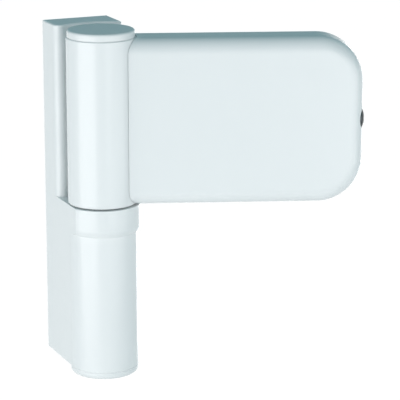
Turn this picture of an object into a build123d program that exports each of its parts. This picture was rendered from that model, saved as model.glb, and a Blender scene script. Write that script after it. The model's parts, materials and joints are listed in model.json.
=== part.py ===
"""Screw-on hinge for an entrance door, in millimetres.

The origin is the middle of the frame leaf's mounting face, on the vertical line through the
hinge axis. +X runs along the mounting face towards the door, +Y into the door frame and +Z up.
Heights are measured from the foot of the frame leaf. The sash side is drawn in its own planes,
which turn about the hinge axis, because the hinge is shown standing a little open.
"""

import os
from math import cos, radians, sin

from build123d import *

# Hinge axis, and how far the sash side stands open
axis_setback = 22.0
open_angle = 20.0

# Frame leaf: block against the door frame, lower knuckle and collar
leaf_width = 21.0
shelf_height = 51.2
collar_height = 8.5
collar_step = 0.9
collar_lip = 0.05
collar_blend = 2.0
seat_radius = 18.0
seat_wall = 9.2
nose_radius = 2.0
edge_break = 0.3
seam_break = 0.2

# Countersunk holes in the seat for the frame screws
frame_hole_radius = 2.8
frame_sink_radius = 5.3
frame_hole_count = 3
frame_hole_margin = 8.6
sink_angle = 90

# Carrier pins that hang the leaf in the door frame's profile
carrier_radius = 4.0
carrier_shank_step = 0.2
carrier_depth = 6.0
carrier_reach = 10.0
carrier_foot_margin = 10.0
carrier_shelf_margin = 11.2
carrier_chamfer = 0.8

# Hinge pin and its bushes
pin_radius = 6.0
pin_chamfer = 0.8
pin_clearance = 0.05
bush_wall = 1.55
bush_length = 12.0
flange_radius = 9.2
flange_thickness = 1.2
flange_gap = 0.1
head_bush_drop = 2.0

# Height adjustment: threaded insert, screw and the travel that they allow
lift_travel = 4.0
height_screw_radius = 5.0
height_screw_length = 10.0
height_screw_sink = 0.4
insert_foot_gap = 0.2
insert_head_gap = 1.8
thread_clearance = 0.05
socket_width = 5.0
socket_depth = 5.0

# Grub screw that keeps the pin from turning
lock_bush_gap = 0.5
lock_radius = 2.5
lock_groove_depth = 1.5
lock_tip_gap = 0.3
lock_recess = 0.5
lock_socket_width = 2.5
lock_socket_depth = 2.4

# Sash knuckle, its thrust parts and the two end caps
knuckle_radius = 10.5
knuckle_length = 50.6
knuckle_gap = 0.3
knuckle_edge = 0.4
disc_thickness = 2.5
plug_thickness = 3.2
top_spigot_length = 1.4
top_cap_thickness = 2.3
cap_step = 0.3
cap_round = 0.7
cap_spigot_gap = 0.1
cap_spigot_wall = 1.3
bottom_cap_thickness = 2.2
bottom_cap_round = 1.3
bottom_spigot_length = 3.0

# Leaf cover
cover_front = 7.2
cover_sash_gap = 0.2
cover_reach = 78.2
cover_wall = 1.8
cover_corner = 13.5
cover_end_gap = 1.4
cover_round = 4.4
cover_inner_round = 1.0
groove_width = 0.15
snap_start = 21.0
snap_end = 43.0
snap_wall = 1.6
snap_gap = 0.1
snap_reach = 4.8
bead_size = 0.5
bead_setback = 3.2

# Sash arm, with a tongue that slides in the base plate's groove
arm_front = 3.4
arm_back = 1.0
arm_half_height = 10.5
arm_root_gap = 0.7
arm_root_length = 3.5
arm_taper_length = 5.0
arm_lug_gap = 2.0
arm_corner = 1.5
tongue_half_width = 3.9
tongue_depth = 0.9
tongue_side_gap = 0.08
tongue_floor_gap = 0.2
boss_length = 6.0
boss_half_height = 7.0
boss_front_gap = 0.3

# Base plate, screwed to the sash, and the side travel of the arm on it
plate_thickness = 4.0
plate_arm_gap = 0.2
plate_root_gap = 2.5
plate_edge_gap = 1.5
plate_near_corner = 3.0
plate_far_corner = 11.0
side_travel = 3.0
sash_hole_radius = 2.7
sash_sink_radius = 5.0
sash_hole_root_margin = 7.5
sash_hole_end_margin = 10.5
sash_hole_edge_margin = 5.5
lug_end_margin = 6.0
lug_length = 6.0
lug_half_height = 6.0
lug_front_gap = 0.4

# Clamp screws and washers that lock the arm to the base plate
clamp_root_gap = 1.4
clamp_radius = 2.5
clamp_slot_gap = 0.2
clamp_end_gap = 0.4
clamp_head_radius = 4.2
clamp_head_height = 2.6
clamp_front_gap = 0.4
clamp_socket_width = 3.0
washer_radius = 5.2
washer_thickness = 1.0
washer_gap = 0.15

# Side screw, held in the arm's boss and threaded through the plate's lug
side_screw_setback = 1.4
side_screw_radius = 3.0
side_screw_clearance = 0.05
side_neck_radius = 2.2
side_neck_gap = 0.1
side_shoulder_gap = 0.2
side_head_radius = 3.8
side_head_gap = 0.3
side_head_sink = 2.2
side_head_edge = 1.5
side_dome_height = 1.3
side_socket_width = 4.0
clip_radius = 3.3
clip_thickness = 0.8
clip_groove_depth = 0.5
clip_gap = 0.2
clip_window_half_width = 4.0
clip_window_length = 5.0

os.makedirs("parts", exist_ok=True)

# Levels above the foot of the leaf
knuckle_foot = shelf_height + knuckle_gap
knuckle_head = knuckle_foot + knuckle_length
leaf_height = knuckle_head + top_cap_thickness
leaf_middle = (knuckle_foot + knuckle_head) / 2
insert_foot = bottom_spigot_length + insert_foot_gap
height_screw_foot = insert_foot + height_screw_sink
pin_foot = height_screw_foot + height_screw_length
foot_bush_foot = insert_foot + height_screw_length + insert_head_gap
lock_height = foot_bush_foot + bush_length + lock_bush_gap + lock_radius
pin_head = knuckle_head - top_spigot_length - plug_thickness - disc_thickness
carrier_heights = (carrier_foot_margin, shelf_height - carrier_shelf_margin)
foot = -leaf_height / 2

# Radii that follow from their neighbours
body_radius = leaf_width / 2
collar_radius = body_radius + collar_step
carrier_shank_radius = carrier_radius + carrier_shank_step
seat_depth = axis_setback - seat_wall
bush_bore = pin_radius + pin_clearance
bush_radius = bush_bore + bush_wall
spigot_radius = bush_radius - cap_spigot_gap
spigot_bore = spigot_radius - cap_spigot_wall
cover_clearance_radius = knuckle_radius + groove_width

# Places along the leaf, from the hinge axis outwards and from the cover's end inwards
plate_start = knuckle_radius + side_travel + plate_root_gap
plate_end = cover_reach - cover_wall - cover_end_gap - side_travel
lug_start = plate_end - lug_end_margin - lug_length
arm_root_end = knuckle_radius + arm_root_length
arm_taper_end = arm_root_end + arm_taper_length
arm_reach = lug_start - side_travel - arm_lug_gap
boss_start = arm_reach - boss_length
clip_start = boss_start - clip_gap - clip_thickness
neck_start = clip_start - clip_groove_depth
clamp_reserve = side_travel + washer_radius + clamp_end_gap
clamp_places = (knuckle_radius + clamp_root_gap + clamp_reserve, neck_start - clamp_reserve)
side_head_start = cover_reach - side_head_sink

# Heights and depths of the pieces inside the cover
cavity_half_height = knuckle_length / 2 - cover_wall
arm_root_half_height = cavity_half_height - arm_root_gap
plate_half_height = cavity_half_height - plate_edge_gap
plate_front = arm_back + plate_arm_gap
plate_back = plate_front + plate_thickness
cover_back = plate_back - cover_sash_gap
cavity_front = cover_front - cover_wall
clamp_front = cavity_front - clamp_front_gap
washer_front = clamp_front - clamp_head_height
washer_back = washer_front - washer_thickness
groove_depth = arm_back + tongue_depth + tongue_floor_gap - plate_front

# The sash side's own frame, turned about the hinge axis from the closed position
sash = Plane(
    origin=(0, -axis_setback, 0),
    x_dir=(cos(radians(open_angle)), -sin(radians(open_angle)), 0),
    z_dir=(0, 0, 1),
)


def frame_level(height):
    """Horizontal plane on the hinge axis, at a height above the foot of the frame leaf."""
    return Plane((0, -axis_setback, foot + height))


def sash_level(height):
    """The same level in the sash side's frame, with X along the leaf."""
    return sash.offset(foot + height)


def sash_view(depth):
    """Upright plane parallel to the sash face, seen from the front, at the leaf's mid-height."""
    origin = sash.from_local_coords((0, depth, foot + leaf_middle))
    return Plane(origin, x_dir=sash.x_dir, z_dir=-sash.y_dir)


def sash_section(reach):
    """Upright plane across the leaf, on the side screw's axis, facing along the leaf."""
    origin = sash.from_local_coords((reach, -side_screw_setback, foot + leaf_middle))
    return Plane(origin, x_dir=sash.y_dir, z_dir=sash.x_dir)


def round_profile(level, radius, bore=0):
    """Disc on a plane, or a ring where it has a bore."""
    with BuildSketch(level) as profile:
        Circle(radius)
        if bore:
            Circle(bore, mode=Mode.SUBTRACT)
    return profile.sketch


# Frame leaf: knuckle and block below the shelf, a hollowed seat above it
with BuildPart() as frame_leaf:
    with BuildSketch(frame_level(0)):
        Circle(body_radius)
        Rectangle(leaf_width, axis_setback, align=(Align.CENTER, Align.MIN))
    extrude(amount=shelf_height)
    chamfer(frame_leaf.faces().sort_by(Axis.Z)[0].edges(), seam_break)
    collar_foot = shelf_height - collar_height
    hinge_section = Plane((0, -axis_setback, foot), x_dir=(1, 0, 0), z_dir=(0, -1, 0))
    with BuildSketch(hinge_section):
        with BuildLine():
            Polyline(
                (body_radius + collar_lip, collar_foot),
                (0, collar_foot),
                (0, shelf_height),
                (collar_radius, shelf_height),
                (collar_radius, collar_foot + collar_blend),
            )
            TangentArc(
                (collar_radius, collar_foot + collar_blend),
                (body_radius + collar_lip, collar_foot),
                tangent=(0, -1),
            )
        make_face()
    revolve(axis=Axis((0, -axis_setback, 0), (0, 0, 1)))
    with BuildSketch(frame_level(collar_foot)):
        with Locations((-body_radius, 0)):
            Rectangle(leaf_width, 2 * leaf_width, align=(Align.MAX, Align.CENTER))
    extrude(amount=collar_height, mode=Mode.SUBTRACT)
    with BuildSketch(frame_level(shelf_height)) as seat_block:
        with Locations((0, axis_setback)):
            Rectangle(leaf_width, axis_setback, align=(Align.CENTER, Align.MAX))
        with Locations((0, seat_depth - seat_radius)):
            Circle(seat_radius, mode=Mode.SUBTRACT)
        seat_corners = seat_block.vertices().group_by(Axis.Y)[0].sort_by(Axis.X)
        fillet(seat_corners[0], nose_radius)
        fillet(seat_block.vertices().group_by(Axis.X)[-1].sort_by(Axis.Y)[0], edge_break)
    extrude(amount=leaf_height - shelf_height)
    chamfer(frame_leaf.faces().sort_by(Axis.Z)[-1].edges(), edge_break)
    extrude(round_profile(frame_level(0), bush_radius), leaf_height, mode=Mode.SUBTRACT)
    extrude(
        round_profile(frame_level(shelf_height), flange_radius + flange_gap),
        -flange_thickness,
        mode=Mode.SUBTRACT,
    )
    hole_row = leaf_height - shelf_height - 2 * frame_hole_margin
    hole_middle = foot + (leaf_height + shelf_height) / 2
    with Locations(Plane((0, -seat_wall, hole_middle), x_dir=(1, 0, 0), z_dir=(0, -1, 0))):
        with GridLocations(0, hole_row / (frame_hole_count - 1), 1, frame_hole_count):
            CounterSinkHole(frame_hole_radius, frame_sink_radius, counter_sink_angle=sink_angle)
    with BuildSketch(Plane.XZ):
        with Locations([(0, foot + height) for height in carrier_heights]):
            Circle(carrier_shank_radius)
    extrude(amount=carrier_depth, mode=Mode.SUBTRACT)
    carrier_mouths = (
        frame_leaf.faces()
        .sort_by(Axis.Y)[-1]
        .edges()
        .filter_by(GeomType.CIRCLE)
        .filter_by(lambda edge: abs(edge.radius - carrier_shank_radius) < 0.01)
    )
    chamfer(carrier_mouths, edge_break)
    with BuildSketch(Plane.YZ):
        with Locations((-axis_setback, foot + lock_height)):
            Circle(lock_radius)
    extrude(amount=leaf_width, mode=Mode.SUBTRACT)
frame_leaf.part.label = "frame_leaf"
export_step(frame_leaf.part, "parts/frame_leaf.step")

# Carrier pins pressed into the back of the leaf
with BuildPart() as carrier_pins:
    with BuildSketch(Plane.XZ):
        with Locations([(0, foot + height) for height in carrier_heights]):
            Circle(carrier_shank_radius)
    extrude(amount=carrier_depth)
    with BuildSketch(Plane.XZ):
        with Locations([(0, foot + height) for height in carrier_heights]):
            Circle(carrier_radius)
    extrude(amount=-carrier_reach)
    chamfer(carrier_pins.faces().group_by(Axis.Y)[-1].edges(), carrier_chamfer)
carrier_pins.part.label = "carrier_pins"
export_step(carrier_pins.part, "parts/carrier_pins.step")

# Lower knuckle's foot bush
with BuildPart() as foot_bush:
    extrude(round_profile(frame_level(foot_bush_foot), bush_radius, bush_bore), bush_length)
foot_bush.part.label = "foot_bush"
export_step(foot_bush.part, "parts/foot_bush.step")

# Flanged bush at the mouth of the lower knuckle
with BuildPart() as shelf_bush:
    extrude(
        round_profile(frame_level(shelf_height), bush_radius), -bush_length - flange_thickness
    )
    extrude(round_profile(frame_level(shelf_height), flange_radius), -flange_thickness)
    extrude(
        round_profile(frame_level(shelf_height), bush_bore), -leaf_height, mode=Mode.SUBTRACT
    )
shelf_bush.part.label = "shelf_bush"
export_step(shelf_bush.part, "parts/shelf_bush.step")

# Threaded insert in the foot of the lower knuckle
with BuildPart() as lift_insert:
    insert_bore = height_screw_radius + thread_clearance
    extrude(
        round_profile(frame_level(insert_foot), bush_radius, insert_bore), height_screw_length
    )
lift_insert.part.label = "lift_insert"
export_step(lift_insert.part, "parts/lift_insert.step")

# Height screw, turned from below
with BuildPart() as height_screw:
    extrude(
        round_profile(frame_level(height_screw_foot), height_screw_radius), height_screw_length
    )
    chamfer(height_screw.edges().filter_by(GeomType.CIRCLE), pin_chamfer)
    with BuildSketch(frame_level(height_screw_foot)):
        RegularPolygon(socket_width / 2, 6, major_radius=False)
    extrude(amount=socket_depth, mode=Mode.SUBTRACT)
height_screw.part.label = "height_screw"
export_step(height_screw.part, "parts/height_screw.step")

# Bottom cap, plugged into the bore
with BuildPart() as bottom_cap:
    extrude(round_profile(frame_level(0), body_radius - cap_step / 2), -bottom_cap_thickness)
    fillet(bottom_cap.faces().sort_by(Axis.Z)[0].edges(), bottom_cap_round)
    chamfer(bottom_cap.faces().sort_by(Axis.Z)[-1].edges(), seam_break)
    extrude(round_profile(frame_level(0), spigot_radius, spigot_bore), bottom_spigot_length)
bottom_cap.part.label = "bottom_cap"
export_step(bottom_cap.part, "parts/bottom_cap.step")

# Hinge pin, with a groove for the lock screw's tip
with BuildPart() as hinge_pin:
    extrude(round_profile(frame_level(pin_foot), pin_radius), pin_head - pin_foot)
    chamfer(hinge_pin.edges().filter_by(GeomType.CIRCLE), pin_chamfer)
    groove_foot = lock_height - lock_radius - lock_tip_gap - lift_travel
    groove_head = lock_height + lock_radius + lock_tip_gap
    with BuildSketch(frame_level(groove_foot)):
        with Locations((pin_radius - lock_groove_depth, 0)):
            Rectangle(pin_radius, 2 * (lock_radius + lock_tip_gap), align=(Align.MIN, Align.CENTER))
    extrude(amount=groove_head - groove_foot, mode=Mode.SUBTRACT)
hinge_pin.part.label = "hinge_pin"
export_step(hinge_pin.part, "parts/hinge_pin.step")

# Grub screw in the side of the lower knuckle
lock_tip = pin_radius - lock_groove_depth + lock_tip_gap
lock_length = body_radius - lock_recess - lock_tip
with BuildPart() as lock_screw:
    with BuildSketch(Plane.YZ.offset(lock_tip)):
        with Locations((-axis_setback, foot + lock_height)):
            Circle(lock_radius)
    extrude(amount=lock_length)
    chamfer(lock_screw.faces().sort_by(Axis.X)[0].edges(), lock_radius / 3)
    with BuildSketch(Plane.YZ.offset(lock_tip + lock_length)):
        with Locations((-axis_setback, foot + lock_height)):
            RegularPolygon(lock_socket_width / 2, 6, major_radius=False)
    extrude(amount=-lock_socket_depth, mode=Mode.SUBTRACT)
lock_screw.part.label = "lock_screw"
export_step(lock_screw.part, "parts/lock_screw.step")

# Sash arm: upper knuckle and the strip that reaches into the cover
clamp_middle = sum(clamp_places) / 2
clamp_span = clamp_places[1] - clamp_places[0] + 2 * side_travel
with BuildPart() as sash_arm:
    extrude(round_profile(sash_level(knuckle_foot), knuckle_radius), knuckle_length)
    fillet(sash_arm.faces().sort_by(Axis.Z)[0].edges(), knuckle_edge)
    chamfer(sash_arm.faces().sort_by(Axis.Z)[-1].edges(), seam_break)
    with BuildSketch(sash_view(arm_back)) as arm_outline:
        with BuildLine():
            Polyline(
                (0, -arm_root_half_height),
                (arm_root_end, -arm_root_half_height),
                (arm_taper_end, -arm_half_height),
                (arm_reach, -arm_half_height),
                (arm_reach, arm_half_height),
                (arm_taper_end, arm_half_height),
                (arm_root_end, arm_root_half_height),
                (0, arm_root_half_height),
                close=True,
            )
        make_face()
        outer_corners = arm_outline.vertices().filter_by(
            lambda vertex: vertex.X ** 2 + (vertex.Y + axis_setback) ** 2 > knuckle_radius ** 2
        )
        fillet(outer_corners, arm_corner)
    extrude(amount=arm_front + arm_back)
    with BuildSketch(sash_view(arm_back)):
        with Locations((arm_root_end, 0)):
            Rectangle(
                arm_reach - arm_root_end,
                2 * tongue_half_width,
                align=(Align.MIN, Align.CENTER),
            )
    extrude(amount=-tongue_depth)
    with BuildSketch(sash_view(-arm_front)):
        with Locations((boss_start, 0)):
            Rectangle(boss_length, 2 * boss_half_height, align=(Align.MIN, Align.CENTER))
    extrude(amount=cavity_front - boss_front_gap - arm_front)
    with BuildSketch(sash_view(0)):
        with Locations((clamp_middle, 0)):
            SlotCenterToCenter(clamp_span, 2 * (clamp_radius + clamp_slot_gap))
        with Locations((boss_start, 0)):
            Rectangle(
                clip_window_length, 2 * clip_window_half_width, align=(Align.MAX, Align.CENTER)
            )
    extrude(amount=cover_front, both=True, mode=Mode.SUBTRACT)
    with BuildSketch(sash_view(-arm_front)):
        with Locations((clamp_middle, 0)):
            SlotCenterToCenter(clamp_span, 2 * (washer_radius + washer_gap))
    extrude(amount=washer_back - arm_front, mode=Mode.SUBTRACT)
    extrude(
        round_profile(sash_section(boss_start), side_neck_radius + side_neck_gap),
        boss_length,
        mode=Mode.SUBTRACT,
    )
    for side in (-1, 1):
        with BuildSketch(sash_view(-arm_front + bead_setback)):
            with Locations((snap_start, side * arm_half_height)):
                Rectangle(
                    snap_end - snap_start,
                    2 * (bead_size + snap_gap),
                    align=(Align.MIN, Align.CENTER),
                )
        extrude(amount=bead_size + 2 * snap_gap, both=True, mode=Mode.SUBTRACT)
    extrude(
        round_profile(sash_level(knuckle_foot), bush_radius), knuckle_length, mode=Mode.SUBTRACT
    )
    extrude(
        round_profile(sash_level(knuckle_foot), flange_radius + flange_gap),
        flange_thickness,
        mode=Mode.SUBTRACT,
    )
sash_arm.part.label = "sash_arm"
export_step(sash_arm.part, "parts/sash_arm.step")

# Flanged bush at the foot of the sash knuckle
with BuildPart() as sash_foot_bush:
    extrude(round_profile(sash_level(knuckle_foot), bush_radius), bush_length + flange_thickness)
    extrude(round_profile(sash_level(knuckle_foot), flange_radius), flange_thickness)
    extrude(
        round_profile(sash_level(knuckle_foot), bush_bore), knuckle_length, mode=Mode.SUBTRACT
    )
sash_foot_bush.part.label = "sash_foot_bush"
export_step(sash_foot_bush.part, "parts/sash_foot_bush.step")

# Plain bush near the head of the sash knuckle
with BuildPart() as sash_head_bush:
    head_bush_level = sash_level(pin_head - head_bush_drop)
    extrude(round_profile(head_bush_level, bush_radius, bush_bore), -bush_length)
sash_head_bush.part.label = "sash_head_bush"
export_step(sash_head_bush.part, "parts/sash_head_bush.step")

# Thrust disc on top of the pin
with BuildPart() as thrust_disc:
    extrude(round_profile(sash_level(pin_head), bush_radius), disc_thickness)
thrust_disc.part.label = "thrust_disc"
export_step(thrust_disc.part, "parts/thrust_disc.step")

# Plug that closes the knuckle and takes the door's weight from the disc
with BuildPart() as knuckle_plug:
    plug_foot = pin_head + disc_thickness
    extrude(round_profile(sash_level(plug_foot), bush_radius), plug_thickness)
    with BuildSketch(sash_level(plug_foot + plug_thickness)):
        RegularPolygon(socket_width / 2, 6, major_radius=False)
    extrude(amount=-plug_thickness / 2, mode=Mode.SUBTRACT)
knuckle_plug.part.label = "knuckle_plug"
export_step(knuckle_plug.part, "parts/knuckle_plug.step")

# Top cap, plugged into the knuckle above the plug
with BuildPart() as top_cap:
    extrude(round_profile(sash_level(knuckle_head), knuckle_radius - cap_step), top_cap_thickness)
    fillet(top_cap.faces().sort_by(Axis.Z)[-1].edges(), cap_round)
    chamfer(top_cap.faces().sort_by(Axis.Z)[0].edges(), seam_break)
    extrude(round_profile(sash_level(knuckle_head), spigot_radius, spigot_bore), -top_spigot_length)
top_cap.part.label = "top_cap"
export_step(top_cap.part, "parts/top_cap.step")

# Leaf cover: a rounded shell, hollow towards the sash and open towards the knuckle
with BuildPart() as leaf_cover:
    with BuildSketch(sash_view(cover_back)) as cover_outline:
        Rectangle(cover_reach, knuckle_length, align=(Align.MIN, Align.CENTER))
        end_corners = cover_outline.vertices().sort_by(sash.location.x_axis)[-2:]
        fillet(end_corners, cover_corner)
    extrude(amount=cover_back + cover_front)
    sash_normal = Axis(sash.origin, sash.y_dir)
    front_face = leaf_cover.faces().sort_by(sash_normal)[0]
    fillet(front_face.edges(), cover_round)
    inner_corner = cover_corner - cover_wall
    with BuildSketch(sash_view(cover_back)) as cover_cavity:
        Rectangle(
            cover_reach - cover_wall,
            2 * cavity_half_height,
            align=(Align.MIN, Align.CENTER),
        )
        fillet(cover_cavity.vertices().sort_by(sash.location.x_axis)[-2:], inner_corner)
    extrude(amount=cover_back + cavity_front, mode=Mode.SUBTRACT)
    cavity_floor = leaf_cover.faces().filter_by(sash_normal).sort_by(sash_normal)[1]
    fillet(cavity_floor.edges().sort_by(sash.location.x_axis)[1:], cover_inner_round)
    for side in (-1, 1):
        with BuildSketch(sash_view(snap_reach - cover_front)):
            with Locations((snap_start, side * (arm_half_height + snap_gap))):
                Rectangle(
                    snap_end - snap_start,
                    snap_wall,
                    align=(Align.MIN, Align.MIN if side > 0 else Align.MAX),
                )
        extrude(amount=snap_reach - cover_wall)
    extrude(
        round_profile(sash_section(cover_reach), side_head_radius + side_head_gap),
        -2 * cover_wall,
        mode=Mode.SUBTRACT,
    )
    extrude(
        round_profile(sash_level(knuckle_foot), cover_clearance_radius),
        knuckle_length,
        mode=Mode.SUBTRACT,
    )
leaf_cover.part.label = "leaf_cover"
export_step(leaf_cover.part, "parts/leaf_cover.step")

# Base plate against the sash, with the groove for the arm's tongue
with BuildPart() as base_plate:
    with BuildSketch(sash_view(plate_back)) as plate_outline:
        with Locations((plate_start, 0)):
            Rectangle(
                plate_end - plate_start, 2 * plate_half_height, align=(Align.MIN, Align.CENTER)
            )
        by_reach = plate_outline.vertices().sort_by(sash.location.x_axis)
        fillet(by_reach[:2], plate_near_corner)
        by_reach = plate_outline.vertices().sort_by(sash.location.x_axis)
        fillet(by_reach[-2:], plate_far_corner)
    extrude(amount=plate_thickness)
    with BuildSketch(sash_view(plate_front)):
        Rectangle(
            plate_end,
            2 * (tongue_half_width + tongue_side_gap),
            align=(Align.MIN, Align.CENTER),
        )
    extrude(amount=-groove_depth, mode=Mode.SUBTRACT)
    with BuildSketch(sash_view(plate_front + groove_depth)):
        with Locations((lug_start, 0)):
            Rectangle(lug_length, 2 * lug_half_height, align=(Align.MIN, Align.CENTER))
    extrude(amount=cavity_front - lug_front_gap + plate_front + groove_depth)
    extrude(
        round_profile(sash_section(lug_start), side_screw_radius + side_screw_clearance),
        lug_length,
        mode=Mode.SUBTRACT,
    )
    for reach in clamp_places:
        with BuildSketch(sash_view(plate_back)):
            with Locations((reach, 0)):
                Circle(clamp_radius)
        extrude(amount=plate_thickness, mode=Mode.SUBTRACT)
    hole_near = plate_start + sash_hole_root_margin
    hole_far = plate_end - sash_hole_end_margin
    hole_rise = 2 * (plate_half_height - sash_hole_edge_margin)
    hole_centre = sash_view(plate_front).from_local_coords(((hole_near + hole_far) / 2, 0))
    with Locations(Plane(hole_centre, x_dir=sash.x_dir, z_dir=-sash.y_dir)):
        with GridLocations(hole_far - hole_near, hole_rise, 2, 2):
            CounterSinkHole(sash_hole_radius, sash_sink_radius, counter_sink_angle=sink_angle)
base_plate.part.label = "base_plate"
export_step(base_plate.part, "parts/base_plate.step")

# Washers in the arm's recess
with BuildPart() as clamp_washers:
    with BuildSketch(sash_view(-washer_back)):
        for reach in clamp_places:
            with Locations((reach, 0)):
                Circle(washer_radius)
                Circle(clamp_radius + clamp_slot_gap, mode=Mode.SUBTRACT)
    extrude(amount=washer_thickness)
clamp_washers.part.label = "clamp_washers"
export_step(clamp_washers.part, "parts/clamp_washers.step")

# Clamp screws through the slot into the base plate
with BuildPart() as clamp_screws:
    with BuildSketch(sash_view(plate_back)):
        for reach in clamp_places:
            with Locations((reach, 0)):
                Circle(clamp_radius)
    extrude(amount=plate_back + washer_front)
    with BuildSketch(sash_view(-washer_front)):
        for reach in clamp_places:
            with Locations((reach, 0)):
                Circle(clamp_head_radius)
    extrude(amount=clamp_head_height)
    chamfer(clamp_screws.faces().sort_by(Axis(sash.origin, sash.y_dir))[:2].edges(), edge_break)
    with BuildSketch(sash_view(-clamp_front)):
        for reach in clamp_places:
            with Locations((reach, 0)):
                RegularPolygon(clamp_socket_width / 2, 6, major_radius=False)
    extrude(amount=-clamp_head_height * 2 / 3, mode=Mode.SUBTRACT)
clamp_screws.part.label = "clamp_screws"
export_step(clamp_screws.part, "parts/clamp_screws.step")

# Side screw: domed head at the cover's end, thread, neck in the boss and groove for the clip
with BuildPart() as side_screw:
    thread_start = arm_reach + side_shoulder_gap
    head_edge_end = side_head_start + side_head_edge
    dome_end = head_edge_end + side_dome_height
    section = Plane(sash_section(0).origin, x_dir=sash.x_dir, z_dir=-sash.y_dir)
    with BuildSketch(section):
        with BuildLine():
            Polyline(
                (neck_start, 0),
                (neck_start, side_neck_radius),
                (clip_start, side_neck_radius),
                (clip_start, side_neck_radius - clip_groove_depth),
                (clip_start + clip_thickness, side_neck_radius - clip_groove_depth),
                (clip_start + clip_thickness, side_neck_radius),
                (thread_start, side_neck_radius),
                (thread_start, side_screw_radius),
                (side_head_start, side_screw_radius),
                (side_head_start, side_head_radius),
                (head_edge_end, side_head_radius),
            )
            RadiusArc(
                (head_edge_end, side_head_radius),
                (dome_end, 0),
                (side_head_radius ** 2 + side_dome_height ** 2) / (2 * side_dome_height),
            )
            Line((dome_end, 0), (neck_start, 0))
        make_face()
    revolve(axis=section.location.x_axis)
    with BuildSketch(sash_section(dome_end)):
        RegularPolygon(side_socket_width / 2, 6, major_radius=False)
    extrude(amount=-side_head_edge - side_dome_height / 2, mode=Mode.SUBTRACT)
side_screw.part.label = "side_screw"
export_step(side_screw.part, "parts/side_screw.step")

# Open retaining clip on the side screw's neck
with BuildPart() as screw_clip:
    with BuildSketch(sash_section(clip_start)):
        Circle(clip_radius)
        Circle(side_neck_radius - clip_groove_depth, mode=Mode.SUBTRACT)
        Rectangle(
            clip_radius,
            2 * (side_neck_radius - clip_groove_depth) - edge_break,
            align=(Align.MIN, Align.CENTER),
            mode=Mode.SUBTRACT,
        )
    extrude(amount=clip_thickness)
screw_clip.part.label = "screw_clip"
export_step(screw_clip.part, "parts/screw_clip.step")
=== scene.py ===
"""White screw-on door hinge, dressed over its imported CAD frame.

The frame's own solids are shown with their finishes. The four kinds of threaded screw are
modelled here, because the frame holds them as plain cylinders. All meshes are in metres.
"""

import json
import math
from collections import Counter

import bpy
from mathutils import Matrix, Vector


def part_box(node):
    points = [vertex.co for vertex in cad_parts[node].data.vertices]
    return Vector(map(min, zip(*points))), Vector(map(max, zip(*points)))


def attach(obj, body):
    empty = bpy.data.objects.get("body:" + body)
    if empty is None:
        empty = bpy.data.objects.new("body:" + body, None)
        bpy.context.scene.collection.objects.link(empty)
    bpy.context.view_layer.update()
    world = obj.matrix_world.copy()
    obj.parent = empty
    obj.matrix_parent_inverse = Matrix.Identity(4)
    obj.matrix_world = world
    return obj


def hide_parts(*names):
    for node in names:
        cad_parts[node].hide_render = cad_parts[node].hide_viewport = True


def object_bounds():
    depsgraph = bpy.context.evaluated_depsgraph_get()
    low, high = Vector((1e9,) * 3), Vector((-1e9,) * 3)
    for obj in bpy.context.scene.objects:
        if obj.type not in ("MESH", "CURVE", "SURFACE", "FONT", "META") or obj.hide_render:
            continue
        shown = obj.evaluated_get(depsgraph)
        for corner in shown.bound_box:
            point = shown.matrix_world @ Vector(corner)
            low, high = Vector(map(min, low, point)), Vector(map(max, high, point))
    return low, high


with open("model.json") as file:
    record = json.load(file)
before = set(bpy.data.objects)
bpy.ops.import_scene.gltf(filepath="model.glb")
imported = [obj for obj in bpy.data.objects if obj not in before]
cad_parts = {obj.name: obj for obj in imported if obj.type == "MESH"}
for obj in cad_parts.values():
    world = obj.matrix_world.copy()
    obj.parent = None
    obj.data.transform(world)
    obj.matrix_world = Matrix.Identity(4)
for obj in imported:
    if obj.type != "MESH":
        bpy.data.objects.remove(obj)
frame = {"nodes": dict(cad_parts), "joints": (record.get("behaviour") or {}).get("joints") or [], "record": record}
cad_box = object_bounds()

bl_info = {
    "name": "Screw-on door hinge",
    "version": (1, 0, 0),
    "blender": (4, 5, 0),
    "location": "3D View > Sidebar > Hinge",
    "description": "Finishes, threaded screws and studio for a screw-on door hinge",
    "category": "Object",
}

MM = 0.001
UP = Vector((0, 0, 1))

# Steps to one turn of a turned piece and of a thread, to one rounding and to half a dome
TURNED_STEPS = 64
THREAD_STEPS = 40
ROUNDING_STEPS = 5
DOME_STEPS = 12

# Points nearer than this are merged, and points this near to a cutting plane lie on it
MERGE_DISTANCE = 0.002 * MM
CUT_DISTANCE = 0.0001 * MM

# Thread profile, as shares of the pitch: start and end of the rising flank, end of the crest
FLANK_START = 0.12
CREST_START = 0.50
CREST_END = 0.62

# Drill cone below a socket, as shares of the socket's radius: its depth and its tip
CONE_DEPTH = 0.3
CONE_TIP = 0.15

# Edges sharper than this stay sharp in the shading
SHARP_EDGE = math.radians(35)

# Sockets of the Mix node for colours, whose names it shares with its other types
MIX_DEEP, MIX_PLAIN, MIX_RESULT = 6, 7, 2

# Camera's sensor, in millimetres, and the nearest and furthest point that it sees, in metres
SENSOR_WIDTH = 36
NEAREST, FURTHEST = 0.01, 20

JOINTS = {joint["name"]: joint for joint in frame["joints"]}
MOUNTS = {mount["name"]: mount for mount in frame["record"]["mounts"]}
HINGE_AXIS = Vector(JOINTS["door_swing"]["pos_m"])
LEAF_DIRECTION = Vector(JOINTS["side_adjust"]["axis"])
SASH_DIRECTION = Vector(MOUNTS["sash_face"]["axis"])


def linear(hex_colour):
    """Turns an sRGB hex colour into linear red, green and blue."""
    parts = [int(hex_colour[i : i + 2], 16) / 255 for i in (1, 3, 5)]
    return tuple(p / 12.92 if p <= 0.04045 else ((p + 0.055) / 1.055) ** 2.4 for p in parts)


def size(label, text, millimetres, smallest=0.0):
    """A length in the panel, given in millimetres."""
    return bpy.props.FloatProperty(
        name=label,
        description=text,
        default=millimetres * MM,
        min=smallest * MM,
        unit="LENGTH",
        precision=5,
    )


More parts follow.
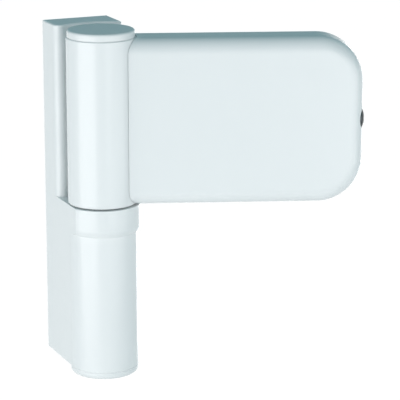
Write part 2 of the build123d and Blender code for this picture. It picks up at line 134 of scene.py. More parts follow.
def angle(label, text, degrees):
    """An angle in the panel, given in degrees."""
    return bpy.props.FloatProperty(
        name=label, description=text, default=math.radians(degrees), subtype="ANGLE"
    )


def power(label, text, watts):
    """A lamp's power in the panel, given in watts."""
    return bpy.props.FloatProperty(
        name=label, description=text, default=watts, min=0.0, unit="POWER"
    )


def share(label, text, part):
    """A plain factor in the panel."""
    return bpy.props.FloatProperty(name=label, description=text, default=part, min=0.0)


def tint(label, text, hex_colour):
    """A colour in the panel, given as an sRGB hex value."""
    return bpy.props.FloatVectorProperty(
        name=label,
        description=text,
        subtype="COLOR",
        size=3,
        min=0.0,
        max=1.0,
        default=linear(hex_colour),
    )


class HingeFinishes(bpy.types.PropertyGroup):
    """Colours and surface grain of the hinge's finishes."""

    coat_colour: tint("Powder coat", "Colour of the powder-coated leaves", "#F1F2F2")
    coat_peel: size("Orange peel", "Width of one ripple in the powder coat", 1.6, 0.1)
    cap_colour: tint("End caps", "Colour of the moulded end caps", "#F0F1F1")
    cap_grain: size("Cap grain", "Width of one grain on the moulded caps", 0.4, 0.05)
    zinc_colour: tint("Zinc plating", "Colour of the zinc-plated steel", "#B8BEC4")
    cast_colour: tint("Cast zinc", "Colour of the die-cast base plate", "#A3A9AD")
    black_colour: tint("Black oxide", "Colour of the blackened steel", "#4A5053")
    brass_colour: tint("Brass", "Colour of the turned brass insert", "#C3A25C")
    acetal_colour: tint("Acetal", "Colour of the acetal bushes", "#2B2F32")
    turning_pitch: size("Turning marks", "Distance between two turning marks", 0.25, 0.05)


class SideScrewSizes(bpy.types.PropertyGroup):
    """Sizes of the side screw."""

    pitch: size("Pitch", "Rise of the thread in one turn", 1.0, 0.2)
    crest: size("Thread crest", "Radius over the thread's crests", 3.0, 0.5)
    depth: size("Thread depth", "Depth of the thread below its crest", 0.55, 0.05)
    head_edge: size("Head edge", "Height of the head's straight edge", 1.8, 0.2)
    head_height: size("Head", "Whole height of the head with its dome", 3.1, 0.5)
    head_seat: size("Head seat", "Distance from the frame's socket rim to the seat", 2.5, 0.5)
    head_break: size("Head break", "Broken edge under the head and at the neck's end", 0.2, 0.02)
    neck_radius: size("Neck", "Radius of the plain neck", 2.2, 0.5)
    neck_length: size("Neck length", "Length of the plain neck", 7.7, 1.0)
    groove_place: size("Groove place", "Distance from the neck's end to the groove", 0.5, 0.1)
    groove_width: size("Groove width", "Width of the clip's groove", 0.8, 0.1)
    groove_depth: size("Groove depth", "Depth of the clip's groove", 0.5, 0.05)
    socket_width: size("Socket", "Width across the flats of the socket", 4.0, 0.5)
    socket_depth: size("Socket depth", "Depth of the socket", 2.6, 0.5)


class HeightScrewSizes(bpy.types.PropertyGroup):
    """Sizes of the height screw."""

    pitch: size("Pitch", "Rise of the thread in one turn", 1.5, 0.2)
    depth: size("Thread depth", "Depth of the thread below its crest", 0.85, 0.05)
    chamfer: size("Chamfer", "Chamfer at both ends", 0.8, 0.05)
    socket_width: size("Socket", "Width across the flats of the socket", 5.0, 0.5)
    socket_depth: size("Socket depth", "Depth of the socket", 5.0, 0.5)


class ClampScrewSizes(bpy.types.PropertyGroup):
    """Sizes and places of the two clamp screws."""

    pitch: size("Pitch", "Rise of the thread in one turn", 0.8, 0.2)
    depth: size("Thread depth", "Depth of the thread below its crest", 0.44, 0.05)
    head_height: size("Head", "Height of the cylindrical head", 2.6, 0.5)
    head_round: size("Head rounding", "Rounding of the head's edges", 0.3, 0.02)
    shank_radius: size("Shank", "Radius over the thread's crests", 2.5, 0.5)
    near_place: size("Near screw", "Distance of the near screw from the hinge axis", 20.5, 5.0)
    far_place: size("Far screw", "Distance of the far screw from the hinge axis", 38.9, 5.0)
    socket_width: size("Socket", "Width across the flats of the socket", 3.0, 0.5)
    socket_depth: size("Socket depth", "Depth of the socket", 1.7, 0.5)


class LockScrewSizes(bpy.types.PropertyGroup):
    """Sizes of the grub screw that locks the hinge pin."""

    pitch: size("Pitch", "Rise of the thread in one turn", 0.8, 0.2)
    depth: size("Thread depth", "Depth of the thread below its crest", 0.44, 0.05)
    tip_chamfer: size("Tip chamfer", "Chamfer at the screw's tip", 0.8, 0.05)
    mouth_chamfer: size("Mouth chamfer", "Chamfer at the screw's socket end", 0.3, 0.05)
    socket_width: size("Socket", "Width across the flats of the socket", 2.5, 0.5)
    socket_depth: size("Socket depth", "Depth of the socket", 2.4, 0.5)


class StudioSettings(bpy.types.PropertyGroup):
    """Camera, lamps and floor."""

    azimuth: angle("Azimuth", "How far the camera stands to the left of the hinge's front", 23.7)
    elevation: angle("Elevation", "How far the camera looks down", 14.6)
    distance: size("Distance", "Distance from the camera to its aim", 650.0, 50.0)
    aim: bpy.props.FloatVectorProperty(
        name="Aim",
        description="Point that the camera looks at",
        default=(0.0313, -0.0240, -0.0031),
        size=3,
        subtype="TRANSLATION",
        unit="LENGTH",
    )
    lens: bpy.props.FloatProperty(
        name="Lens",
        description="Focal length in millimetres on a 36 mm sensor",
        default=189.7,
        min=10.0,
        unit="CAMERA",
    )
    lamp_distance: size("Lamp distance", "Distance from each lamp to the hinge", 600.0, 200.0)
    key_azimuth: angle("Key azimuth", "Place of the key lamp, right of the hinge's front", -72.0)
    key_elevation: angle("Key elevation", "Height of the key lamp as an angle", 0.0)
    key_width: size("Key width", "Width of the key lamp", 680.0, 10.0)
    key_height: size("Key height", "Height of the key lamp", 450.0, 10.0)
    key_power: power("Key power", "Power of the key lamp on the left", 2.5)
    key_colour: tint("Key colour", "Colour of the key lamp", "#FFFAFA")
    fill_azimuth: angle("Fill azimuth", "Place of the fill lamp, right of the hinge's front", 23.0)
    fill_elevation: angle("Fill elevation", "Height of the fill lamp as an angle", 2.0)
    fill_width: size("Fill width", "Width of the fill lamp", 800.0, 10.0)
    fill_height: size("Fill height", "Height of the fill lamp", 450.0, 10.0)
    fill_power: power("Fill power", "Power of the fill lamp at the front right", 2.02)
    fill_colour: tint("Fill colour", "Colour of the fill lamp", "#FFFBFB")
    back_azimuth: angle("Back azimuth", "Place of the back lamp, right of the hinge's front", 150.0)
    back_elevation: angle("Back elevation", "Height of the back lamp as an angle", -12.0)
    back_width: size("Back width", "Width of the back lamp", 500.0, 10.0)
    back_height: size("Back height", "Height of the back lamp", 250.0, 10.0)
    back_power: power("Back power", "Power of the low lamp behind the hinge", 1.0)
    back_colour: tint("Back colour", "Colour of the back lamp", "#FFFFFF")
    sky_colour: tint("Room light", "Colour of the soft light from the room", "#6A8E95")
    floor_colour: tint("Floor", "Colour of the floor", "#DDE0E0")
    floor_white: share("Floor white", "Strength of the white that the camera sees", 1.08)
    floor_shadow: share("Floor shadow", "Share of the floor's own shading in that white", 0.08)
    floor_drop: size("Floor drop", "How far the floor lies below the hinge", 200.0)
    floor_radius: size("Floor radius", "Radius of the level part of the floor", 3000.0, 500.0)
    floor_rim: size("Floor rim", "Radius and height of the floor's upturned rim", 650.0, 100.0)


def deselect_everything():
    """Leaves nothing selected, so that an operator acts only on the new piece."""
    if bpy.context.mode != "OBJECT":
        bpy.ops.object.mode_set(mode="OBJECT")
    bpy.ops.object.select_all(action="DESELECT")


def work_on(piece):
    """Makes one piece the only selected and active object."""
    deselect_everything()
    piece.select_set(True)
    bpy.context.view_layer.objects.active = piece


def drawn_line(name, outline):
    """Draws a line of (radius, height) points in the XZ plane, extruding it vertex by vertex."""
    deselect_everything()
    radius, height = outline[0]
    bpy.ops.mesh.primitive_plane_add(size=MM, location=(0, 0, 0), enter_editmode=False)
    piece = bpy.context.object
    piece.name = name
    piece.data.name = name
    bpy.ops.object.mode_set(mode="EDIT")
    bpy.ops.mesh.select_mode(type="VERT")
    bpy.ops.mesh.select_all(action="SELECT")
    bpy.ops.mesh.merge(type="CENTER")
    bpy.ops.transform.translate(value=(radius, 0, height))
    for next_radius, next_height in outline[1:]:
        step = (next_radius - radius, 0, next_height - height)
        bpy.ops.mesh.extrude_region_move(TRANSFORM_OT_translate={"value": step})
        radius, height = next_radius, next_height
    bpy.ops.object.mode_set(mode="OBJECT")
    return piece


def closed_up():
    """Merges doubles of the mesh in edit mode and points its faces outwards."""
    bpy.ops.mesh.select_all(action="SELECT")
    bpy.ops.mesh.remove_doubles(threshold=MERGE_DISTANCE)
    bpy.ops.mesh.normals_make_consistent(inside=False)


def turned(name, outline):
    """Turns a piece from its outline, as on a lathe, by spinning it about the Z axis."""
    piece = drawn_line(name, outline)
    bpy.ops.object.mode_set(mode="EDIT")
    bpy.ops.mesh.select_all(action="SELECT")
    bpy.ops.mesh.spin(steps=TURNED_STEPS, angle=2 * math.pi, center=(0, 0, 0), axis=UP)
    closed_up()
    bpy.ops.object.mode_set(mode="OBJECT")
    return piece


def apply_modifier(piece, kind, **settings):
    """Adds a modifier with its settings and applies it."""
    work_on(piece)
    modifier = piece.modifiers.new(kind.title(), kind)
    for key, value in settings.items():
        setattr(modifier, key, value)
    bpy.ops.object.modifier_apply(modifier=modifier.name)


def cut_with(piece, tool, operation):
    """Cuts a piece with a tool, or keeps only what they share, and removes the tool."""
    apply_modifier(piece, "BOOLEAN", operation=operation, object=tool, solver="EXACT")
    bpy.data.objects.remove(tool)


def threaded(name, foot, head, crest, depth, pitch):
    """Winds one thread's profile up the Z axis and cuts both ends flat."""
    root = crest - depth
    start = foot - 2 * pitch
    profile = [
        (root, start),
        (root, start + FLANK_START * pitch),
        (crest, start + CREST_START * pitch),
        (crest, start + CREST_END * pitch),
        (root, start + pitch),
    ]
    piece = drawn_line(name, profile)
    apply_modifier(
        piece,
        "SCREW",
        axis="Z",
        screw_offset=pitch,
        iterations=math.ceil((head - foot) / pitch) + 3,
        steps=THREAD_STEPS,
        render_steps=THREAD_STEPS,
        use_merge_vertices=True,
        merge_threshold=MERGE_DISTANCE,
        use_smooth_shade=True,
    )
    work_on(piece)
    bpy.ops.object.mode_set(mode="EDIT")
    for height, outwards in ((foot, -1), (head, 1)):
        bpy.ops.mesh.select_all(action="SELECT")
        bpy.ops.mesh.bisect(
            plane_co=(0, 0, height),
            plane_no=(0, 0, outwards),
            use_fill=True,
            clear_outer=True,
            threshold=CUT_DISTANCE,
        )
    closed_up()
    bpy.ops.object.mode_set(mode="OBJECT")
    return piece


def hexagon_tool(mouth, depth, width):
    """Tool for a hexagon socket that opens upwards at a height and ends in a drill's cone."""
    deselect_everything()
    radius = width / math.sqrt(3)
    bpy.ops.mesh.primitive_cylinder_add(
        vertices=6, radius=radius, depth=depth + MM, location=(0, 0, mouth + (MM - depth) / 2)
    )
    tool = bpy.context.object
    bpy.ops.object.mode_set(mode="EDIT")
    bpy.ops.mesh.select_mode(type="FACE")
    bpy.ops.mesh.select_all(action="DESELECT")
    bpy.ops.object.mode_set(mode="OBJECT")
    lowest = min(tool.data.polygons, key=lambda face: face.center.z)
    lowest.select = True
    bpy.ops.object.mode_set(mode="EDIT")
    bpy.ops.mesh.extrude_region_move(
        TRANSFORM_OT_translate={"value": (0, 0, -CONE_DEPTH * radius)}
    )
    bpy.ops.transform.resize(value=(CONE_TIP, CONE_TIP, 1))
    bpy.ops.object.mode_set(mode="OBJECT")
    bpy.ops.object.transform_apply(location=True, rotation=True, scale=True)
    return tool


def cut_socket(piece, mouth, sizes):
    """Cuts a hexagon socket, whose sizes are given, into the top of a screw."""
    cut_with(piece, hexagon_tool(mouth, sizes.socket_depth, sizes.socket_width), "DIFFERENCE")


def headless_screw(name, length, crest, tip_chamfer, mouth_chamfer, sizes):
    """Threaded screw without a head, chamfered at its tip and at its socket."""
    screw = threaded(name, 0, length, crest, sizes.depth, sizes.pitch)
    blank = turned(
        name + "_blank",
        [
            (0, 0),
            (crest - tip_chamfer, 0),
            (crest, tip_chamfer),
            (crest, length - mouth_chamfer),
            (crest - mouth_chamfer, length),
            (0, length),
        ],
    )
    cut_with(screw, blank, "INTERSECT")
    cut_socket(screw, length, sizes)
    return screw


def joined(pieces):
    """Joins several meshes into the first one."""
    deselect_everything()
    for piece in pieces:
        piece.select_set(True)
    bpy.context.view_layer.objects.active = pieces[0]
    bpy.ops.object.join()
    return pieces[0]


def put_in_place(piece, point, direction):
    """Lays a piece's Z axis along a direction, with its foot on a point, in its own mesh."""
    work_on(piece)
    turn = direction.to_track_quat("Z", "X").to_matrix().to_4x4()
    piece.matrix_world = Matrix.Translation(point) @ turn
    bpy.ops.object.transform_apply(location=True, rotation=True, scale=True)


def smoothed(piece):
    """Smooths the shading except over sharp edges."""
    work_on(piece)
    bpy.ops.object.shade_smooth_by_angle(angle=SHARP_EDGE)


def check_closed(piece):
    """Raises an error unless each edge of a piece joins two faces."""
    sides = Counter(edge for face in piece.data.polygons for edge in face.edge_keys)
    if not sides or any(count != 2 for count in sides.values()):
        raise RuntimeError(piece.name + " isn't closed")


def reach_along(node, point, direction):
    """Lowest and highest place of a CAD node along an axis through a point, and its radius."""
    places = [vertex.co - point for vertex in frame["nodes"][node].data.vertices]
    along = [place.dot(direction) for place in places]
    across = [(place - place.dot(direction) * direction).length for place in places]
    return min(along), max(along), max(across)


def rounding(radius, height, amount, sweep):
    """Points of a round about a centre, from one angle to another in degrees."""
    first, last = sweep
    points = []
    for i in range(ROUNDING_STEPS + 1):
        turn = math.radians(first + (last - first) * i / ROUNDING_STEPS)
        points.append((radius + amount * math.cos(turn), height + amount * math.sin(turn)))
    return points


def add_node(tree, kind, inputs, **settings):
    """Adds a node, with its settings, socket values and links."""
    node = tree.nodes.new(kind)
    for key, value in settings.items():
        setattr(node, key, value)
    for key, value in inputs.items():
        socket = node.inputs[key]
        if isinstance(value, bpy.types.NodeSocket):
            tree.links.new(value, socket)
        else:
            socket.default_value = value
    return node


def new_material(name):
    """An empty node material and its object coordinates, in metres."""
    material = bpy.data.materials.new(name)
    material.use_nodes = True
    tree = material.node_tree
    tree.nodes.clear()
    place = add_node(tree, "ShaderNodeTexCoord", {}).outputs["Object"]
    return material, tree, place


def noise(tree, place, width, detail=2.0, rough=0.5):
    """Noise whose bumps are as wide as given, in metres."""
    inputs = {"Vector": place, "Scale": 1 / width, "Detail": detail, "Roughness": rough}
    return add_node(tree, "ShaderNodeTexNoise", inputs).outputs["Fac"]


def between(tree, factor, low, high):
    """Turns a factor from 0 to 1 into a value between two others."""
    inputs = {"Value": factor, "To Min": low, "To Max": high}
    return add_node(tree, "ShaderNodeMapRange", inputs).outputs["Result"]


def shaded(tree, factor, colour, darker):
    """Colour that a factor darkens slightly."""
    deep = tuple(part * darker for part in colour)
    inputs = {"Factor": factor, MIX_DEEP: (*deep, 1), MIX_PLAIN: (*colour, 1)}
    return add_node(tree, "ShaderNodeMix", inputs, data_type="RGBA").outputs[MIX_RESULT]


def surface(tree, **inputs):
    """Ends a material with its surface shader."""
    named = {key.replace("_", " "): value for key, value in inputs.items()}
    shader = add_node(tree, "ShaderNodeBsdfPrincipled", named)
    add_node(tree, "ShaderNodeOutputMaterial", {"Surface": shader.outputs["BSDF"]})


def relief(tree, height, distance):
    """Bump from a height, whose full depth is the distance in metres."""
    inputs = {"Height": height, "Distance": distance, "Strength": 1.0}
    return add_node(tree, "ShaderNodeBump", inputs).outputs["Normal"]


def powder_coat(finishes):
    """Satin polyester powder coat, sprayed dry and baked on aluminium.

    The eye sees an even cool white, soft wide highlights, and an orange peel of shallow
    ripples that only shows where light grazes. Roughness varies a little with the film.
    """
    material, tree, place = new_material("satin_powder_coat")
    peel = noise(tree, place, finishes.coat_peel, detail=1.0)
    cloud = noise(tree, place, width=14 * MM, detail=2.0)
    surface(
        tree,
        Base_Color=shaded(tree, cloud, finishes.coat_colour, darker=0.985),
        Roughness=between(tree, peel, low=0.20, high=0.26),
        Normal=relief(tree, peel, distance=0.003 * MM),
        IOR=1.50,
    )
    return material


def moulded_caps(finishes):
    """White acrylic-styrene plastic, moulded in a finely eroded tool.

    The eye sees the same white as the leaves, a touch more matt, with a grain of sparks
    from the tool. The real grain, about 0.1 mm, is drawn wider so that it shows at all.
    """
    material, tree, place = new_material("moulded_asa_plastic")
    grain = noise(tree, place, finishes.cap_grain, detail=3.0, rough=0.6)
    cloud = noise(tree, place, width=8 * MM)
    surface(
        tree,
        Base_Color=shaded(tree, cloud, finishes.cap_colour, darker=0.98),
        Roughness=between(tree, grain, low=0.22, high=0.29),
        Normal=relief(tree, grain, distance=0.002 * MM),
        IOR=1.49,
    )
    return material


def lathe_marks(tree, place, axis, pitch):
    """Fine rings across an axis, uneven as a lathe leaves them."""
    turn = axis.to_track_quat("Z", "X").inverted().to_euler()
    mapped = add_node(
        tree,
        "ShaderNodeMapping",
        {"Vector": place, "Rotation": turn, "Scale": (0.02, 0.02, 1.0)},
    )
    return noise(tree, mapped.outputs["Vector"], pitch, detail=3.0, rough=0.7)


def zinc_plate(finishes, name, axis):
    """Clear-passivated zinc plating on turned steel.

    The eye sees a bluish grey metal with turning rings under a slightly cloudy plating.
    """
    material, tree, place = new_material(name)
    rings = lathe_marks(tree, place, axis, finishes.turning_pitch)
    cloud = noise(tree, place, width=2.5 * MM, detail=4.0, rough=0.6)
    surface(
        tree,
        Base_Color=shaded(tree, cloud, finishes.zinc_colour, darker=0.90),
        Metallic=1.0,
        Roughness=between(tree, cloud, low=0.26, high=0.40),
        Normal=relief(tree, rings, distance=0.006 * MM),
    )
    return material


def cast_zinc(finishes):
    """Zinc alloy, pressure die-cast and tumbled, as on hinge base plates.

    The eye sees a dull grey metal, mottled where the melt flowed, with softly pitted skin.
    """
    material, tree, place = new_material("die_cast_zinc")
    flow = noise(tree, place, width=7 * MM, detail=5.0, rough=0.65)
    pits = noise(tree, place, width=0.5 * MM, detail=2.0)
    surface(
        tree,
        Base_Color=shaded(tree, flow, finishes.cast_colour, darker=0.82),
        Metallic=1.0,
        Roughness=between(tree, flow, low=0.42, high=0.58),
        Normal=relief(tree, pits, distance=0.010 * MM),
    )
    return material


def black_oxide(finishes):
    """Black-oxide steel, dipped hot and oiled.

    The eye sees a near-black metal with a faint blue cast, silkier where the oil stayed.
    """
    material, tree, place = new_material("black_oxide_steel")
    rings = lathe_marks(tree, place, LEAF_DIRECTION, finishes.turning_pitch)
    oil = noise(tree, place, width=1.8 * MM, detail=3.0)
    surface(
        tree,
        Base_Color=shaded(tree, oil, finishes.black_colour, darker=0.80),
        Metallic=1.0,
        Roughness=between(tree, oil, low=0.28, high=0.42),
        Normal=relief(tree, rings, distance=0.005 * MM),
    )
    return material


def turned_brass(finishes):
    """Free-cutting brass, turned and left bare.

    The eye sees warm yellow metal with bright tool rings and a slight tarnish.
    """
    material, tree, place = new_material("turned_brass")
    rings = lathe_marks(tree, place, UP, finishes.turning_pitch)
    tarnish = noise(tree, place, width=3 * MM, detail=4.0)
    surface(
        tree,
        Base_Color=shaded(tree, tarnish, finishes.brass_colour, darker=0.80),
        Metallic=1.0,
        Roughness=between(tree, tarnish, low=0.22, high=0.36),
        Normal=relief(tree, rings, distance=0.006 * MM),
    )
    return material


def acetal(finishes):
    """Black acetal, injection moulded in a polished tool, for dry bearings.

    The eye sees a waxy near-black plastic with broad low gloss and faint flow clouds.
    """
    material, tree, place = new_material("black_acetal")
    flow = noise(tree, place, width=4 * MM, detail=3.0)
    surface(
        tree,
        Base_Color=shaded(tree, flow, finishes.acetal_colour, darker=0.85),
        Roughness=between(tree, flow, low=0.38, high=0.48),
        Normal=relief(tree, flow, distance=0.004 * MM),
        IOR=1.48,
    )
    return material


def dress(names, material):
    """Gives CAD nodes one finish."""
    for name in names:
        node = frame["nodes"][name]
        node.data.materials.clear()
        node.data.materials.append(material)


def finish_piece(piece, material, body, slot, *nodes):
    """Checks and smooths a new piece, gives it its finish and body, and hides the CAD nodes that it stands for."""
    check_closed(piece)
    smoothed(piece)
    piece.data.materials.clear()
    piece.data.materials.append(material)
    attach(piece, body)
    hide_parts(*nodes)


class HINGE_OT_white_leaves(bpy.types.Operator):
    """Powder-coats the frame leaf, the sash arm and the leaf cover"""

    bl_idname = "hinge.white_leaves"
    bl_label = "Coat the leaves"

    def execute(self, context):
        coat = powder_coat(context.scene.hinge_finishes)
        dress(("frame_leaf", "sash_arm", "leaf_cover"), coat)
        return {"FINISHED"}


class HINGE_OT_end_caps(bpy.types.Operator):
    """Gives both end caps their moulded plastic"""

    bl_idname = "hinge.end_caps"
    bl_label = "Finish the end caps"

    def execute(self, context):
        dress(("top_cap", "bottom_cap"), moulded_caps(context.scene.hinge_finishes))
        return {"FINISHED"}


class HINGE_OT_bearings(bpy.types.Operator):
    """Gives the bushes and the thrust disc their acetal"""

    bl_idname = "hinge.bearings"
    bl_label = "Finish the bearings"

    def execute(self, context):
        bushes = ("foot_bush", "shelf_bush", "sash_foot_bush", "sash_head_bush")
        dress((*bushes, "thrust_disc"), acetal(context.scene.hinge_finishes))
        return {"FINISHED"}


class HINGE_OT_metal_fittings(bpy.types.Operator):
    """Finishes the pin, plug, carriers, washers, base plate and insert"""

    bl_idname = "hinge.metal_fittings"
    bl_label = "Finish the metal fittings"

    def execute(self, context):
        finishes = context.scene.hinge_finishes
        upright = zinc_plate(finishes, "zinc_plated_pin", UP)
        dress(("hinge_pin", "knuckle_plug"), upright)
        dress(("carrier_pins",), zinc_plate(finishes, "zinc_plated_bar", Vector((0, 1, 0))))
        dress(("clamp_washers",), zinc_plate(finishes, "zinc_plated_washer", SASH_DIRECTION))
        dress(("base_plate",), cast_zinc(finishes))
        dress(("lift_insert",), turned_brass(finishes))
        return {"FINISHED"}


class HINGE_OT_side_screw(bpy.types.Operator):
    """Models the side screw with its dome, thread and groove, and blackens its clip"""

    bl_idname = "hinge.side_screw"
    bl_label = "Model the side screw"

    def execute(self, context):
        sizes = context.scene.hinge_side_screw
        axis = Vector(JOINTS["side_screw_turn"]["axis"])
        start = Vector(JOINTS["side_screw_turn"]["pos_m"])
        low, high, head_radius = reach_along("side_screw", start, axis)
        head = high - low - sizes.head_seat
        top = head + sizes.head_height
        edge = head + sizes.head_edge
        neck = sizes.neck_radius
        root = sizes.crest - sizes.depth
        groove = sizes.groove_place
        brim = sizes.head_break
        body = [
            (0, 0),
            (neck - brim, 0),
            (neck, brim),
            (neck, groove),
            (neck - sizes.groove_depth, groove),
            (neck - sizes.groove_depth, groove + sizes.groove_width),
            (neck, groove + sizes.groove_width),
            (neck, sizes.neck_length),
            (root, sizes.neck_length),
            (root, head),
            (head_radius - brim, head),
            (head_radius, head + brim),
            (head_radius, edge - brim),
        ]
        rise = top - edge
        dome = (head_radius**2 + rise**2) / (2 * rise)
        tilt = math.asin(head_radius / dome)
        for i in range(1, DOME_STEPS):
            turn = tilt * (1 - i / DOME_STEPS)
            body.append((dome * math.sin(turn), top - dome * (1 - math.cos(turn))))
        body.append((0, top))
        screw = turned("side_screw_body", body)
        cut_socket(screw, top, sizes)
        thread = threaded(
            "side_screw_thread", sizes.neck_length, head, sizes.crest, sizes.depth, sizes.pitch
        )
        screw = joined([screw, thread])
        put_in_place(screw, start + axis * low, axis)
        screw.name = "side_screw_threaded"
        material = black_oxide(context.scene.hinge_finishes)
        finish_piece(screw, material, "side_screw", "dark_steel", "side_screw")
        dress(("screw_clip",), material)
        return {"FINISHED"}


class HINGE_OT_height_screw(bpy.types.Operator):
    """Models the height screw with its thread and socket"""

    bl_idname = "hinge.height_screw"
    bl_label = "Model the height screw"

    def execute(self, context):
        sizes = context.scene.hinge_height_screw
        low, high, crest = reach_along("height_screw", HINGE_AXIS, UP)
        screw = headless_screw(
            "height_screw_threaded", high - low, crest, sizes.chamfer, sizes.chamfer, sizes
        )
        put_in_place(screw, HINGE_AXIS + UP * high, -UP)
        material = zinc_plate(context.scene.hinge_finishes, "zinc_plated_height_screw", UP)
        finish_piece(screw, material, "height_screw", "zinc_steel", "height_screw")
        return {"FINISHED"}


class HINGE_OT_clamp_screws(bpy.types.Operator):
    """Models one clamp screw and copies it to the second place"""

    bl_idname = "hinge.clamp_screws"
    bl_label = "Model the clamp screws"

    def execute(self, context):
        sizes = context.scene.hinge_clamp_screws
        low, high, _ = reach_along("clamp_screws", HINGE_AXIS, SASH_DIRECTION)
        box_low, box_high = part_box("clamp_screws")
        head_radius = (box_high.z - box_low.z) / 2
        length = high - low
        neck = length - sizes.head_height
        brow = sizes.head_round
        root = sizes.shank_radius - sizes.depth
        outline = [(0, 0), (root, 0), (root, neck), (head_radius, neck)]
        outline += rounding(head_radius - brow, length - brow, brow, (0, 90))
        outline += [(0, length)]
        head = turned("clamp_screw_head", outline)
        cut_socket(head, length, sizes)
        thread = threaded(
            "clamp_screw_thread", 0, neck, sizes.shank_radius, sizes.depth, sizes.pitch
        )
        first = joined([head, thread])
        material = zinc_plate(
            context.scene.hinge_finishes, "zinc_plated_clamp_screw", SASH_DIRECTION
        )
        level = Vector((0, 0, (box_low.z + box_high.z) / 2 - HINGE_AXIS.z))
        work_on(first)
        bpy.ops.object.duplicate(linked=False)
        second = bpy.context.object
        places = ((first, sizes.near_place, "near"), (second, sizes.far_place, "far"))
        for screw, place, word in places:
            foot = HINGE_AXIS + level + LEAF_DIRECTION * place + SASH_DIRECTION * high
            put_in_place(screw, foot, -SASH_DIRECTION)
            screw.name = "clamp_screw_" + word
            finish_piece(screw, material, "plate", "zinc_steel", "clamp_screws")
        return {"FINISHED"}


class HINGE_OT_lock_screw(bpy.types.Operator):
    """Models the grub screw that keeps the hinge pin from turning"""

    bl_idname = "hinge.lock_screw"
    bl_label = "Model the lock screw"

    def execute(self, context):
        sizes = context.scene.hinge_lock_screw
        low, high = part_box("lock_screw")
        length = high.x - low.x
        crest = (high.z - low.z) / 2
        screw = headless_screw(
            "lock_screw_threaded", length, crest, sizes.tip_chamfer, sizes.mouth_chamfer, sizes
        )
        sideways = Vector((1, 0, 0))
        put_in_place(screw, Vector((low.x, (low.y + high.y) / 2, (low.z + high.z) / 2)), sideways)
        material = zinc_plate(context.scene.hinge_finishes, "zinc_plated_lock_screw", sideways)
        finish_piece(screw, material, "frame", "zinc_steel", "lock_screw")
        return {"FINISHED"}


def seen_directly(tree):
    """Factor of 1 for what the camera sees straight, in a mirror or through glass."""
    rays = add_node(tree, "ShaderNodeLightPath", {}).outputs
    either = add_node(
        tree,
        "ShaderNodeMath",
        {0: rays["Is Camera Ray"], 1: rays["Is Glossy Ray"]},
        operation="MAXIMUM",
    )
    inputs = {0: either.outputs[0], 1: rays["Is Transmission Ray"]}
    return add_node(tree, "ShaderNodeMath", inputs, operation="MAXIMUM").outputs[0]


def floor_material(studio):
    """Matt white floor that stays white to the eye and keeps a trace of the shadow."""
    material = bpy.data.materials.new("matt_white_floor")
    material.use_nodes = True
    tree = material.node_tree
    tree.nodes.clear()
    matt = add_node(tree, "ShaderNodeBsdfDiffuse", {"Color": (*studio.floor_colour, 1)})
    white = add_node(
        tree,
        "ShaderNodeEmission",
        {"Color": (1, 1, 1, 1), "Strength": studio.floor_white},
    )
    seen = add_node(
        tree,
        "ShaderNodeMath",
        {0: seen_directly(tree), 1: 1 - studio.floor_shadow},
        operation="MULTIPLY",
    )
    mixed = add_node(
        tree,
        "ShaderNodeMixShader",
        {0: seen.outputs[0], 1: matt.outputs[0], 2: white.outputs[0]},
    )
    add_node(tree, "ShaderNodeOutputMaterial", {"Surface": mixed.outputs[0]})
    return material


def light_room(studio):
    """Even soft light from the room."""
    world = bpy.data.worlds.new("soft_room")
    bpy.context.scene.world = world
    world.use_nodes = True
    tree = world.node_tree
    tree.nodes.clear()
    room = add_node(
        tree, "ShaderNodeBackground", {"Color": (*studio.sky_colour, 1), "Strength": 1.0}
    )
    add_node(tree, "ShaderNodeOutputWorld", {"Surface": room.outputs[0]})


def seen_from_hinge(azimuth, elevation):
    """Direction of a place whose azimuth is counted to the right of the hinge's front."""
    level = math.cos(elevation)
    return Vector((math.sin(azimuth) * level, -math.cos(azimuth) * level, math.sin(elevation)))


def add_lamp(studio, word):
    """Large soft lamp that faces the middle of the hinge, named by one word."""
    away = seen_from_hinge(
        getattr(studio, word + "_azimuth"), getattr(studio, word + "_elevation")
    )
    middle = Vector((studio.aim[0], studio.aim[1], 0))
    bpy.ops.object.light_add(type="AREA", location=middle + away * studio.lamp_distance)
    lamp = bpy.context.object
    lamp.name = word + "_lamp"
    lamp.rotation_mode = "QUATERNION"
    lamp.rotation_quaternion = away.to_track_quat("Z", "Y")
    lamp.data.shape = "RECTANGLE"
    lamp.data.size = getattr(studio, word + "_width")
    lamp.data.size_y = getattr(studio, word + "_height")
    lamp.data.energy = getattr(studio, word + "_power")
    lamp.data.color = getattr(studio, word + "_colour")


class HINGE_OT_studio(bpy.types.Operator):
    """Sets up the floor, the lamps, the room light and the camera"""

    bl_idname = "hinge.studio"
    bl_label = "Set up the studio"

    def execute(self, context):
        studio = context.scene.hinge_studio
        deselect_everything()
        level = cad_box[0].z - studio.floor_drop
        rim = rounding(studio.floor_radius, level + studio.floor_rim, studio.floor_rim, (-90, 0))
        floor = turned("floor", [(0, level), *rim])
        floor.data.materials.append(floor_material(studio))
        light_room(studio)
        for word in ("key", "fill", "back"):
            add_lamp(studio, word)
        away = seen_from_hinge(-studio.azimuth, studio.elevation)
        bpy.ops.object.camera_add(location=Vector(studio.aim) + away * studio.distance)
        camera = context.object
        camera.name = "camera"
        camera.rotation_mode = "QUATERNION"
        camera.rotation_quaternion = away.to_track_quat("Z", "Y")
        camera.data.sensor_width = SENSOR_WIDTH
        camera.data.lens = studio.lens
        camera.data.clip_start = NEAREST
        camera.data.clip_end = FURTHEST
        context.scene.camera = camera
        context.scene.view_settings.view_transform = "Standard"
        return {"FINISHED"}


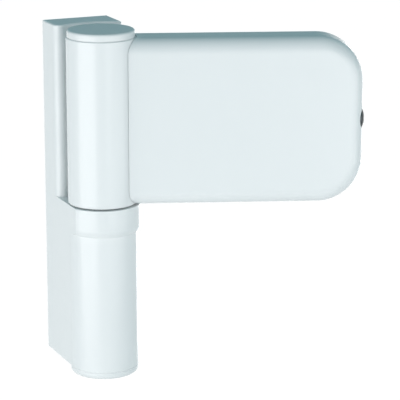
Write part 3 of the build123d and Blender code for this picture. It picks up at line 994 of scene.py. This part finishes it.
class HINGE_PT_panel(bpy.types.Panel):
    """Sidebar panel with the hinge's sizes, colours and operators"""

    bl_idname = "HINGE_PT_panel"
    bl_label = "Screw-on hinge"
    bl_space_type = "VIEW_3D"
    bl_region_type = "UI"
    bl_category = "Hinge"

    def draw(self, context):
        scene = context.scene
        for settings, operators in PANEL_ROWS:
            group = getattr(scene, settings)
            box = self.layout.box()
            for key in group.bl_rna.properties.keys():
                if key not in ("rna_type", "name"):
                    box.prop(group, key)
            for operator in operators:
                box.operator(operator)


PANEL_ROWS = (
    (
        "hinge_finishes",
        ("hinge.white_leaves", "hinge.end_caps", "hinge.bearings", "hinge.metal_fittings"),
    ),
    ("hinge_side_screw", ("hinge.side_screw",)),
    ("hinge_height_screw", ("hinge.height_screw",)),
    ("hinge_clamp_screws", ("hinge.clamp_screws",)),
    ("hinge_lock_screw", ("hinge.lock_screw",)),
    ("hinge_studio", ("hinge.studio",)),
)

SETTINGS = {
    "hinge_finishes": HingeFinishes,
    "hinge_side_screw": SideScrewSizes,
    "hinge_height_screw": HeightScrewSizes,
    "hinge_clamp_screws": ClampScrewSizes,
    "hinge_lock_screw": LockScrewSizes,
    "hinge_studio": StudioSettings,
}

CLASSES = (
    *SETTINGS.values(),
    HINGE_OT_white_leaves,
    HINGE_OT_end_caps,
    HINGE_OT_bearings,
    HINGE_OT_metal_fittings,
    HINGE_OT_side_screw,
    HINGE_OT_height_screw,
    HINGE_OT_clamp_screws,
    HINGE_OT_lock_screw,
    HINGE_OT_studio,
    HINGE_PT_panel,
)


def register():
    """Registers the classes and hangs the settings on the scene."""
    for item in CLASSES:
        bpy.utils.register_class(item)
    for name, group in SETTINGS.items():
        setattr(bpy.types.Scene, name, bpy.props.PointerProperty(type=group))


def unregister():
    """Takes the settings and the classes away again."""
    for name in SETTINGS:
        delattr(bpy.types.Scene, name)
    for item in reversed(CLASSES):
        bpy.utils.unregister_class(item)


def main():
    register()
    bpy.ops.hinge.white_leaves()
    bpy.ops.hinge.end_caps()
    bpy.ops.hinge.bearings()
    bpy.ops.hinge.metal_fittings()
    bpy.ops.hinge.side_screw()
    bpy.ops.hinge.height_screw()
    bpy.ops.hinge.clamp_screws()
    bpy.ops.hinge.lock_screw()
    bpy.ops.hinge.studio()


if __name__ == "__main__":
    main()
